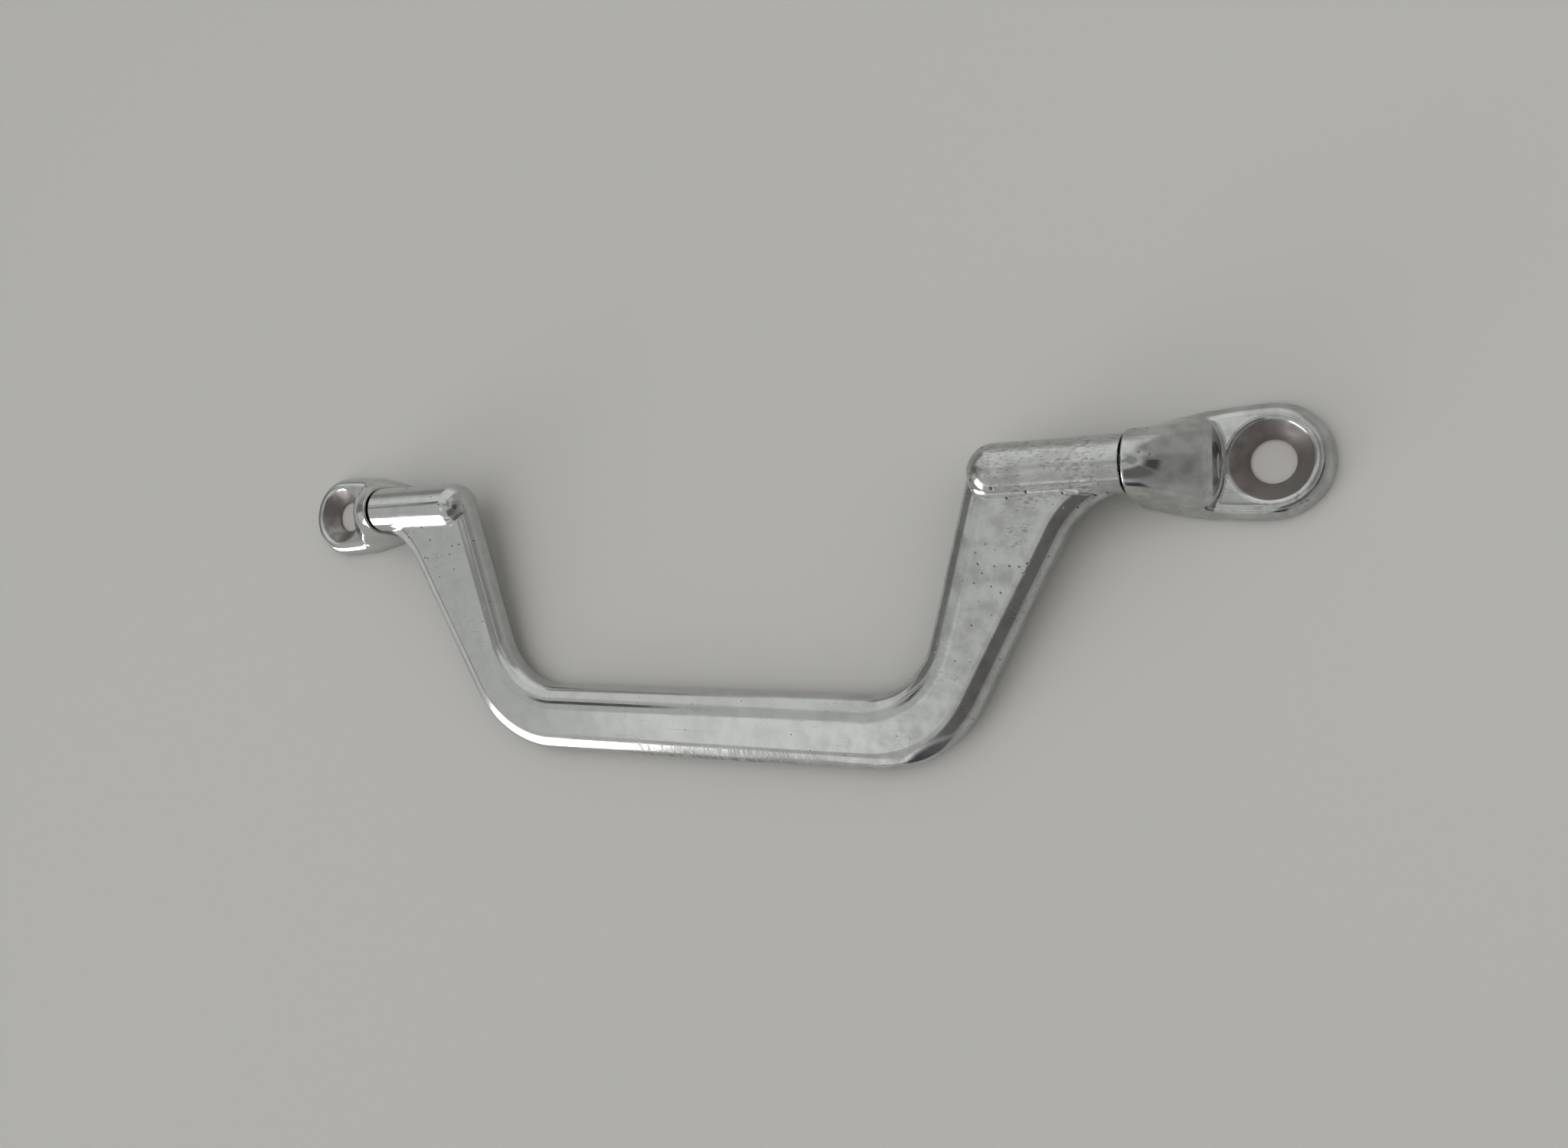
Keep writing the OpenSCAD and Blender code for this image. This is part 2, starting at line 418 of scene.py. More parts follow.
        grid = graph.node("GeometryNodeVolumeCube")
        low, high = self.reach()
        graph.feed(grid.inputs["Density"], -centre)
        graph.feed(grid.inputs["Background"], self.OUTSIDE)
        graph.feed(grid.inputs["Min"], low)
        graph.feed(grid.inputs["Max"], high)
        for axis, start, stop in zip("XYZ", low, high):
            graph.feed(grid.inputs[f"Resolution {axis}"], round((stop - start) / self.voxel))
        skin = graph.node("GeometryNodeVolumeToMesh")
        graph.feed(skin.inputs["Volume"], graph.wire(grid))
        graph.feed(skin.inputs["Threshold"], 0.0)
        shape = graph.wire(skin)
        for _ in range(self.SLIDES):
            move = graph.node("GeometryNodeSetPosition")
            graph.feed(move.inputs["Geometry"], shape)
            graph.feed(move.inputs["Offset"], slide)
            shape = graph.wire(move)
        keep = graph.node("GeometryNodeStoreNamedAttribute", data_type="FLOAT_VECTOR")
        graph.feed(keep.inputs["Name"], self.FACING)
        graph.feed(keep.inputs["Value"], normal)
        shrink = graph.node("GeometryNodeTransform")
        graph.feed(shrink.inputs["Scale"], (MM, MM, MM))
        whole = graph.node("GeometryNodeRealizeInstances")
        coat = graph.node("GeometryNodeSetMaterial")
        graph.feed(coat.inputs["Material"], graph.wire(given, "finish"))
        for node in (keep, shrink, whole, coat):
            graph.feed(node.inputs["Geometry"], shape)
            shape = graph.wire(node)
        graph.feed(graph.node("NodeGroupOutput").inputs["Geometry"], shape)
        return tree, identifiers

    def build(self, finish: bpy.types.Material) -> bpy.types.Object:
        """Run the piece's tree and keep its result as a plain mesh.

        Args:
            finish: The material of the whole piece.

        Returns:
            The piece's object, at the origin with its place in its mesh.
        """
        tree, identifiers = self.skin_tree()
        piece = bpy.data.objects.new(self.name, bpy.data.meshes.new(self.name))
        bpy.context.scene.collection.objects.link(piece)
        modifier = piece.modifiers.new("skin", "NODES")
        modifier.node_group = tree
        for name, value in self.sizes().items():
            modifier[identifiers[name]] = value
        modifier[identifiers["finish"]] = finish
        evaluated = piece.evaluated_get(bpy.context.evaluated_depsgraph_get())
        mesh = bpy.data.meshes.new_from_object(evaluated)
        piece.modifiers.remove(modifier)
        piece.data = mesh
        mesh.name = self.name
        self.dress(piece)
        LOG.info("%s: %d faces", self.name, len(mesh.polygons))
        return piece

    def dress(self, piece: bpy.types.Object) -> None:
        """Shade the piece smooth, by the true normals that its tree has kept."""
        mesh = piece.data
        facing = np.empty(len(mesh.vertices) * 3, dtype=np.float32)
        mesh.attributes[self.FACING].data.foreach_get("vector", facing)
        mesh.attributes.remove(mesh.attributes[self.FACING])
        mesh.shade_smooth()
        mesh.normals_split_custom_set_from_vertices(facing.reshape(-1, 3))


@dataclass
class Bail(CastPiece):
    """The swinging piece: two barrels with round noses, two leaning arms and the bar."""

    name: str = "bail_casting"
    voxel: float = 0.28
    shoulder_u: float = 64.15
    barrel_r: float = 3.7
    barrel_l: float = 20.4
    spigot_r: float = 1.6
    spigot_l: float = 4.0
    bail_t: float = 4.3
    web_rise: float = 2.3
    brow_r: float = 2.5
    bevel_w: float = 2.45
    bevel_lean: float = 19.5
    bevel_crown: float = 0.028
    bevel_round: float = 0.13
    inner_round: float = 0.40
    corner_r: float = 1.0
    rub_u: float = 37.56
    rub_v: float = 37.29
    rub_turn: float = 60.0
    rub_lean: float = 35.0
    rub_depth: float = 1.25
    sole_r: float = 0.9
    finger_depth: float = 29.5
    bar_w: float = 10.2
    inner_lean: float = 16.1
    outer_lean: float = 28.8
    root_inset: float = 4.9
    root_sink: float = 0.3
    root_land: float = 0.2
    root_depth: float = 1.0
    nose_sink: float = 0.1
    gusset_r: float = 11.0
    inner_bend_r: float = 10.5
    outer_bend_r: float = 18.0
    hinge_h: float = 6.7
    rest_gap: float = 0.05
    crease_r: float = 0.55
    shoulder_round: float = 0.15
    polish_wave: float = 0.025
    wave_scale: float = 0.075

    MARGIN = 1.0
    WAVE_SEED = 3.0

    def reach(self) -> tuple[Triple, Triple]:
        """Give the corners of a box that holds the bail, in millimetres."""
        half = self.shoulder_u + self.spigot_l + self.MARGIN
        front = self.finger_depth + self.bar_w + self.MARGIN
        back = self.barrel_r + self.MARGIN
        return (-half, -front, -self.MARGIN), (half, back, self.hinge_h + back)

    def outline(
        self, graph: Graph, size: SimpleNamespace, u: Wire, v: Wire
    ) -> tuple[Wire, Wire]:
        """Measure the distance from both edges of the arms and the bar.

        Args:
            graph: Where the nodes go.
            size: A wire for each size.
            u: Distance along the hinge from the middle.
            v: Distance from the hinge, in the plane of the arms.

        Returns:
            The distances from the outer and the inner edge in that plane, negative inside.
        """
        out_cos, out_sin = graph.cosine(size.outer_lean), graph.sine(size.outer_lean)
        in_cos, in_sin = graph.cosine(size.inner_lean), graph.sine(size.inner_lean)
        sole_w = size.web_rise - size.bail_t + size.sole_r
        brow_w = size.web_rise - size.brow_r
        root_w = graph.most(abs(sole_w), abs(brow_w))
        root_r = graph.math("SQRT", size.barrel_r * size.barrel_r - root_w * root_w)
        root_v = root_r - size.root_sink
        outer_off = (size.shoulder_u - size.root_inset) * out_cos + root_v * out_sin
        bar_v = size.finger_depth + size.bar_w
        from_outer = u * out_cos + v * out_sin - outer_off

        gusset_v = root_v + size.gusset_r
        gusset_u = (outer_off + size.gusset_r - gusset_v * out_sin) / out_cos
        du, dv = u - gusset_u, v - gusset_v
        in_gusset = graph.least(du * out_sin - dv * out_cos, -du) > 0.0
        outer = graph.choose(
            in_gusset,
            size.gusset_r - graph.length(du, dv),
            graph.least(from_outer, v - root_v),
        )

        bend_v = bar_v - size.outer_bend_r
        bend_u = (outer_off - size.outer_bend_r - bend_v * out_sin) / out_cos
        du, dv = u - bend_u, v - bend_v
        in_bend = graph.least(dv * out_cos - du * out_sin, du) > 0.0
        outer = graph.choose(
            in_bend,
            graph.length(du, dv) - size.outer_bend_r,
            graph.most(outer, v - bar_v),
        )

        nose_u = size.shoulder_u - size.barrel_l + size.barrel_r
        inner_off = root_r - size.nose_sink
        from_inner = (nose_u - u) * in_cos - v * in_sin - inner_off
        bend_v = size.finger_depth - size.inner_bend_r
        bend_u = nose_u - (inner_off + size.inner_bend_r + bend_v * in_sin) / in_cos
        du, dv = u - bend_u, v - bend_v
        in_bend = graph.least(dv * in_cos - du * in_sin, du) > 0.0
        inner = graph.choose(
            in_bend,
            size.inner_bend_r - graph.length(du, dv),
            graph.least(from_inner, size.finger_depth - v),
        )
        return outer, inner

    def distance(self, graph: Graph, size: SimpleNamespace, place: Wire) -> Wire:
        """Measure the distance from the bail as it lies at rest."""
        x, y, z = graph.separate(place)
        web_foot = size.web_rise - size.bail_t
        sole_v = size.finger_depth + size.bar_w - size.sole_r
        sole_w = web_foot + size.sole_r
        drop = size.hinge_h - size.sole_r - size.rest_gap
        tilt = graph.math("ARCSINE", drop / graph.length(sole_v, sole_w))
        tilt = tilt + graph.math("ARCTAN2", sole_w, sole_v)
        tilt_sin, tilt_cos = graph.math("SINE", tilt), graph.math("COSINE", tilt)
        rise = z - size.hinge_h
        u = abs(x)
        v = -(y * tilt_cos + rise * tilt_sin)
        w = rise * tilt_cos - y * tilt_sin

        # The web: its outline with bevelled upper edges, the rubbed bend and the round sole.
        outer, inner = self.outline(graph, size, u, v)
        outline = graph.most(outer, inner)
        bevel_round = graph.choose(inner > outer, size.inner_round, size.bevel_round)
        above = w - size.web_rise
        bevel_cos, bevel_sin = graph.cosine(size.bevel_lean), graph.sine(size.bevel_lean)
        in_bevel = outline + size.bevel_w
        sag = graph.most(in_bevel, 0.0)
        bevel = in_bevel * bevel_sin + above * bevel_cos + sag * sag * size.bevel_crown
        web = graph.round_cut(above, bevel, bevel_round)
        web = graph.round_cut(outline, web, size.corner_r)
        rub_cos, rub_sin = graph.cosine(size.rub_turn), graph.sine(size.rub_turn)
        rub_off = (x - size.rub_u) * rub_cos + (v - size.rub_v) * rub_sin
        rub = rub_off * graph.sine(size.rub_lean) + above * graph.cosine(size.rub_lean)
        web = graph.round_cut(web, rub + size.rub_depth, size.bevel_round)
        web = graph.round_cut(web, web_foot - w, size.sole_r)
        web = graph.most(web, -v - size.root_depth, u - size.shoulder_u + size.root_land)

        # The barrels with their noses, and the spigots on their shoulders.
        nose_u = size.shoulder_u - size.barrel_l + size.barrel_r
        barrel = graph.length(graph.least(u - nose_u, 0.0), v, w) - size.barrel_r
        barrel = graph.round_cut(barrel, u - size.shoulder_u, size.shoulder_round)
        spigot = graph.length(v, w) - size.spigot_r
        spigot_end = u - size.shoulder_u - size.spigot_l
        spigot = graph.round_cut(spigot, spigot_end, size.shoulder_round)
        spigot = graph.most(spigot, nose_u - u)

        off_middle = graph.least(abs(w) / size.web_rise, 1.0)
        crease = size.crease_r * off_middle * off_middle
        solid = graph.least(graph.round_union(web, barrel, crease), spigot)
        return self.polish(graph, size, place, solid)


@dataclass
class Bracket(CastPiece):
    """One end bracket: a round pad with a countersunk hole, and the dome over the spigot."""

    name: str = "bracket_casting"
    voxel: float = 0.15
    side: Side = Side.RIGHT
    hole_spacing: float = 160.0
    screw_r: float = 2.65
    countersink_r: float = 5.0
    pad_t: float = 2.8
    rim_w: float = 2.0
    rim_r: float = 2.5
    rim_foot: float = 0.6
    dome_l: float = 10.2
    step_land: float = 0.35
    step_h: float = 2.2
    step_r: float = 17.0
    step_lean: float = 14.0
    crown_r: float = 8.5
    crown_fall: float = 4.0
    step_power: float = 1.65
    hinge_h: float = 6.7
    mouth_r: float = 4.15
    mouth_flare: float = 0.55
    bore_r: float = 1.65
    bore_depth: float = 4.6
    pad_round: float = 0.22
    step_round: float = 1.1
    step_fillet: float = 0.6
    mouth_round: float = 0.28
    seat_round: float = 0.2
    foot_round: float = 0.15
    polish_wave: float = 0.012
    wave_scale: float = 0.16

    MARGIN = 0.6
    WAVE_SEED = 8.0
    LEAST_TOP = 1.0
    SEAT_COS = 0.7071
    BARE_LEAN = 0.2
    BARE_INSET = 0.12
    BARE_SOFT = 0.15

    def reach(self) -> tuple[Triple, Triple]:
        """Give the corners of a box that holds the bracket, in millimetres."""
        end = self.countersink_r + self.rim_w + self.MARGIN
        mouth = self.countersink_r + self.step_land + self.dome_l + self.MARGIN
        middle = self.hole_spacing / 2
        along = sorted(self.side.value * (middle + d) for d in (end, -mouth))
        top = self.hinge_h + self.mouth_r + self.MARGIN
        return (along[0], -end, -self.MARGIN), (along[1], end, top)

    def top_line(self, graph: Graph, size: SimpleNamespace, t: Wire) -> Wire:
        """Give the height of the dome's top line.

        Args:
            graph: Where the nodes go.
            size: A wire for each size.
            t: Distance from the mouth towards the screw.

        Returns:
            The height: an arc over the mouth, then its tangent to the step's top edge.
        """
        mouth_h = size.hinge_h + size.mouth_r
        lean = graph.sine(size.step_lean) / graph.cosine(size.step_lean)
        top_t = size.dome_l - size.step_h * lean
        top_z = size.pad_t + size.step_h
        crown_t = -size.crown_r * graph.sine(size.crown_fall)
        crown_z = mouth_h - size.crown_r * graph.cosine(size.crown_fall)
        run, fall = top_t - crown_t, top_z - crown_z
        swing = graph.math("ARCCOSINE", size.crown_r / graph.length(run, fall))
        end = graph.math("ARCTAN2", fall, run) + swing
        end_cos, end_sin = graph.math("COSINE", end), graph.math("SINE", end)
        past = t - crown_t
        arc = crown_z + graph.math("SQRT", size.crown_r * size.crown_r - past * past)
        line = top_z + (top_t - t) * end_cos / end_sin
        height = graph.choose(past > size.crown_r * end_cos, line, arc)
        return graph.most(height, self.LEAST_TOP)

    def dome(self, graph: Graph, size: SimpleNamespace, d: Wire, y: Wire, z: Wire) -> Wire:
        """Measure the dome, whose arch changes from the mouth's form to the step's.

        Args:
            graph: Where the nodes go.
            size: A wire for each size.
            d: Distance from the screw towards the mouth.
            y: Distance across the bracket.
            z: Height over the furniture.

        Returns:
            About the distance from the dome's skin, negative inside.
        """
        end_r = size.countersink_r + size.rim_w
        step_d = size.countersink_r + size.step_land
        mouth_d = step_d + size.dome_l
        mouth_h = size.hinge_h + size.mouth_r
        foot_w = size.mouth_r + size.mouth_flare
        fall = end_r - foot_w
        flank_r = (mouth_d * mouth_d + fall * fall) / (fall * 2.0)
        t = graph.most(mouth_d - d, 0.0)
        inside_d = mouth_d - t
        flank = graph.math("SQRT", flank_r * flank_r - inside_d * inside_d)
        half = end_r - flank_r + flank
        top = self.top_line(graph, size, t)

        mouth_y, mouth_z = abs(y) * foot_w / half, z * mouth_h / top
        arch = graph.length(mouth_y, mouth_z - size.hinge_h) - size.mouth_r
        wall = mouth_y - size.mouth_r - size.mouth_flare * (1.0 - mouth_z / size.hinge_h)
        at_mouth = graph.choose(mouth_z > size.hinge_h, arch, wall)
        across = (abs(y) / half) ** size.step_power
        above = (graph.most(z, 0.0) / top) ** size.step_power
        gauge = (across + above) ** graph.math("DIVIDE", 1.0, size.step_power)
        at_step = (gauge - 1.0) * top
        skin = graph.choose(graph.least(t / size.dome_l, 1.0), at_step, at_mouth)

        lean_cos, lean_sin = graph.cosine(size.step_lean), graph.sine(size.step_lean)
        wall_r = size.step_r + (size.pad_t - z) * lean_sin / lean_cos
        step = (graph.length(step_d + size.step_r - d, y) - wall_r) * lean_cos
        return graph.round_cut(skin, step, size.step_round)

    def pad(self, graph: Graph, size: SimpleNamespace, d: Wire, y: Wire, z: Wire) -> Wire:
        """Measure the plate with its rounded rim, which runs on under the dome."""
        end_r = size.countersink_r + size.rim_w
        mouth_d = size.countersink_r + size.step_land + size.dome_l
        fall = end_r - size.mouth_r - size.mouth_flare
        flank_r = (mouth_d * mouth_d + fall * fall) / (fall * 2.0)
        flank = graph.length(d, abs(y) + flank_r - end_r) - flank_r
        plan = graph.choose(d > 0.0, flank, graph.length(d, y) - end_r)
        across, above = plan + size.rim_r, z - size.rim_foot
        outside = graph.length(graph.most(across, 0.0), graph.most(above, 0.0))
        rim = outside + graph.least(graph.most(across, above), 0.0) - size.rim_r
        return graph.round_cut(rim, z - size.pad_t, size.pad_round)

    def distance(self, graph: Graph, size: SimpleNamespace, place: Wire) -> Wire:
        """Measure the distance from the bracket as it is screwed down."""
        x, y, z = graph.separate(place)
        d = size.hole_spacing / 2.0 - x * self.side.value
        mouth_d = size.countersink_r + size.step_land + size.dome_l
        pad = self.pad(graph, size, d, y, z)
        dome = self.dome(graph, size, d, y, z)
        body = graph.round_union(pad, dome, size.step_fillet)
        body = graph.round_cut(body, d - mouth_d, size.mouth_round)
        body = graph.round_cut(body, -z, size.foot_round)

        from_screw = graph.length(d, y)
        seat_z = graph.least(z, size.pad_t + size.step_land / 2.0)
        seat = (from_screw - size.countersink_r + size.pad_t - seat_z) * self.SEAT_COS
        hole = graph.least(seat, from_screw - size.screw_r)
        body = graph.round_cut(body, -hole, size.seat_round)
        bore = graph.length(y, z - size.hinge_h) - size.bore_r
        bore = graph.most(bore, mouth_d - d - size.bore_depth)
        body = graph.round_cut(body, -bore, size.foot_round)
        return self.polish(graph, size, place, body)

    def dress(self, piece: bpy.types.Object) -> None:
        """Shade the bracket smooth, and mark the bare metal of its countersink and hole."""
        super().dress(piece)
        mesh = piece.data
        places = np.empty(len(mesh.vertices) * 3, dtype=np.float32)
        mesh.vertices.foreach_get("co", places)
        x, y, z = places.reshape(-1, 3).T / MM
        from_screw = np.hypot(x - self.side.value * self.hole_spacing / 2, y)
        sunk = np.maximum(self.pad_t - z, 0.0)
        edge = self.countersink_r - sunk * self.BARE_LEAN - self.BARE_INSET
        bare = np.clip((edge - from_screw) / self.BARE_SOFT, 0.0, 1.0).astype(np.float32)
        mark = mesh.attributes.new(self.BARE, "FLOAT", "POINT")
        mark.data.foreach_set("value", bare)


@dataclass(frozen=True)
class Blotches:
    """Noise on the metal, kept where it rises from a low to a high level.

    The turn about the vertical and the stretch draw it out into streaks or strokes.
    """

    scale: float
    detail: float
    seed: float
    low: float
    high: float
    turn: float = 0.0
    stretch: Triple = (1.0, 1.0, 1.0)

    def level(self, graph: Graph, place: Wire, seed: float) -> Wire:
        """Give the noise at a place, on the plate of a seed."""
        drawn = graph.stretch(place, (0.0, 0.0, self.turn), self.stretch)
        return graph.noise(drawn, self.scale, self.detail, seed + self.seed)

    def share(
        self, graph: Graph, place: Wire, seed: float, lift: Wire | None = None
    ) -> Wire:
        """Give how far a place is inside a blotch.

        Args:
            graph: Where the nodes go.
            place: Where it is read, in millimetres.
            seed: The seed of the plate.
            lift: What is added to the noise, where the metal is more worn.

        Returns:
            The share, from 0 to 1.
        """
        level = self.level(graph, place, seed)
        return graph.ramp(level if lift is None else level + lift, self.low, self.high)


@dataclass(frozen=True)
class Chrome:
    """A chrome plate and how far it has clouded, pitted and been scratched."""

    name: str
    tint: Triple = (0.585, 0.59, 0.58)
    stain: Triple = (0.23, 0.23, 0.22)
    pit: Triple = (0.05, 0.047, 0.044)
    bare_metal: Triple = (0.36, 0.337, 0.322)
    rust: Triple = (0.27, 0.248, 0.236)
    polished: float = 0.05
    hazy: float = 0.12
    pitted: float = 0.9
    worn: float = 0.20
    chatter: float = 0.0
    seed: float = 1.0

    HAZE = Blotches(scale=0.16, detail=5.0, seed=1.0, low=0.35, high=0.70)
    MOTTLE = Blotches(scale=0.45, detail=8.0, seed=2.0, low=0.36, high=0.70)
    CLOUD = Blotches(scale=0.22, detail=5.0, seed=6.0, low=0.50, high=0.70)
    SPECKLE = Blotches(
        scale=3.2, detail=7.0, seed=7.0, low=0.40, high=0.72, stretch=(0.45, 1.0, 1.0)
    )
    CLUSTER = Blotches(scale=0.11, detail=2.0, seed=8.0, low=0.38, high=0.50)
    RUST = Blotches(scale=0.5, detail=4.0, seed=5.0, low=0.35, high=0.70)
    LONG_SCRATCH = Blotches(
        scale=1.0, detail=2.0, seed=3.0, low=0.68, high=0.73, turn=0.12, stretch=(0.05, 3.2, 3.2)
    )
    CROSS_SCRATCH = Blotches(
        scale=1.0, detail=2.0, seed=4.0, low=0.69, high=0.74, turn=1.25, stretch=(0.07, 4.0, 4.0)
    )
    STROKE = Blotches(
        scale=1.0, detail=2.0, seed=9.0, low=0.46, high=0.56, turn=-0.2, stretch=(2.4, 0.25, 0.25)
    )

    # Where the wear begins and is full, in millimetres along and across the hinge.
    RIGHT_HALF = (10.0, 45.0)
    BARREL_SIDE = (-7.0, -2.0)
    CHATTER_START = (-16.0, -8.0)
    CHATTER_END = (8.0, 26.0)
    CHATTER_EDGE = (37.0, 37.6)

    # Scale, share and spread of the pits, which run in from the surface.
    COARSE_PITS = (0.70, 0.90, 0.22)
    FINE_PITS = (1.15, 0.30, 0.12)
    PIT_DEPTH = (1.0, 1.0, 0.15)

    # How strongly the marks cover the plate, on the left and on the right half.
    LEFT_CLOUD, RIGHT_CLOUD = 0.40, 1.0
    LEFT_TONE, RIGHT_TONE = 0.18, 0.56
    STAIN_COVER, CHATTER_COVER = 0.8, 0.75
    PIT_METAL_LOSS = 0.6

    # What the marks add to the roughness, and how far they rise or sink.
    STAIN_DULL, PIT_DULL, SCRATCH_DULL, CHATTER_DULL = 0.14, 0.35, 0.10, 0.25
    BARE_DULL, RUST_DULL = 0.38, 0.15
    MOTTLE_RISE, PIT_SINK, SCRATCH_SINK = 0.10, 2.0, 0.10
    RELIEF = 0.00002

    def stains(self, graph: Graph, place: Wire, cloud: Wire, right: Wire) -> Wire:
        """Give how far the plate is stained: speckled clouds over a soft mottle.

        Args:
            graph: Where the nodes go.
            place: Where it is read, in millimetres.
            cloud: How far the plate is clouded there.
            right: How far the place is on the more worn right half.

        Returns:
            The share, from 0 to 1.
        """
        speckle = self.SPECKLE.share(graph, place, self.seed)
        tone = self.MOTTLE.share(graph, place, self.seed)
        clouded = right * (self.RIGHT_CLOUD - self.LEFT_CLOUD) + self.LEFT_CLOUD
        toned = right * (self.RIGHT_TONE - self.LEFT_TONE) + self.LEFT_TONE
        return graph.most(cloud * speckle * clouded, tone * toned)

    def pits(self, graph: Graph, place: Wire, cloud: Wire) -> Wire:
        """Give the pits: coarse ones in clusters, and fine ones where the plate is clouded."""
        cluster = self.CLUSTER.share(graph, place, self.seed)
        sunk = graph.stretch(place, (0.0, 0.0, 0.0), self.PIT_DEPTH)
        coarse = graph.spots(sunk, *self.COARSE_PITS) * cluster
        fine = graph.spots(place, *self.FINE_PITS)
        return graph.most(coarse, fine * cloud) * self.pitted

    def chatter_marks(self, graph: Graph, place: Wire) -> Wire:
        """Give the strokes that knocks have left on the middle of the bar's outer edge."""
        x, y, _ = graph.separate(place)
        edge = graph.ramp(-y, *self.CHATTER_EDGE) * graph.ramp(x, *self.CHATTER_START)
        edge = edge * (1.0 - graph.ramp(x, *self.CHATTER_END))
        return edge * self.STROKE.share(graph, place, self.seed) * self.chatter

    def material(self) -> bpy.types.Material:
        """Make the plate's material.

        Returns:
            A procedural material on Object coordinates and the mark of bare metal.
        """
        material = bpy.data.materials.new(self.name)
        material.use_nodes = True
        graph = Graph(material.node_tree)
        shader = material.node_tree.nodes["Principled BSDF"]
        metres = graph.wire(graph.node("ShaderNodeTexCoord"), "Object")
        place = graph.stretch(metres, (0.0, 0.0, 0.0), (1 / MM, 1 / MM, 1 / MM))
        mark = graph.node("ShaderNodeAttribute", attribute_name=CastPiece.BARE)
        bare = graph.wire(mark, "Fac")

        x, y, _ = graph.separate(place)
        right = graph.ramp(x, *self.RIGHT_HALF)
        worn = right * graph.ramp(y, *self.BARREL_SIDE) * self.worn
        haze = self.HAZE.share(graph, place, self.seed)
        cloud = self.CLOUD.share(graph, place, self.seed, worn)
        stains = self.stains(graph, place, cloud, right)
        pits = self.pits(graph, place, cloud)
        scratches = graph.most(
            self.LONG_SCRATCH.share(graph, place, self.seed),
            self.CROSS_SCRATCH.share(graph, place, self.seed),
        )
        chatter = self.chatter_marks(graph, place)
        rust = self.RUST.share(graph, place, self.seed)

        plate = graph.paint(stains * self.STAIN_COVER, self.stain, self.tint)
        plate = graph.paint(chatter * self.CHATTER_COVER, self.stain, plate)
        plate = graph.paint(pits, self.pit, plate)
        metal = graph.paint(rust, self.rust, self.bare_metal)
        graph.feed(shader.inputs["Base Color"], graph.paint(bare, metal, plate))
        graph.feed(shader.inputs["Metallic"], 1.0 - pits * self.PIT_METAL_LOSS)

        dull = haze * self.hazy + stains * self.STAIN_DULL + pits * self.PIT_DULL
        dull = dull + scratches * self.SCRATCH_DULL + chatter * self.CHATTER_DULL
        bare_dull = rust * self.RUST_DULL + self.BARE_DULL
        rough = graph.choose(bare, bare_dull, dull + self.polished)
        graph.feed(shader.inputs["Roughness"], rough)

        relief = self.MOTTLE.level(graph, place, self.seed) * self.MOTTLE_RISE
        relief = relief - pits * self.PIT_SINK - scratches * self.SCRATCH_SINK
        bump = graph.node("ShaderNodeBump")
        graph.feed(bump.inputs["Distance"], self.RELIEF)
        graph.feed(bump.inputs["Strength"], 1.0)
        graph.feed(bump.inputs["Height"], relief)
        graph.feed(shader.inputs["Normal"], graph.wire(bump))
        return material


@dataclass(frozen=True)
class Patch:
    """A soft-edged rectangle of the room, by azimuth and elevation in degrees.

    Azimuth 0 lies along +X, 90 along +Y. A patch lies over those before it.
    """

    azimuth: float
    width: float
    low: float
    high: float
    soft: float
    radiance: Triple


@dataclass(frozen=True)
class Softbox:
    """A square lamp over the handle, in metres and watts."""

    place: Triple
    size: float
    power: float


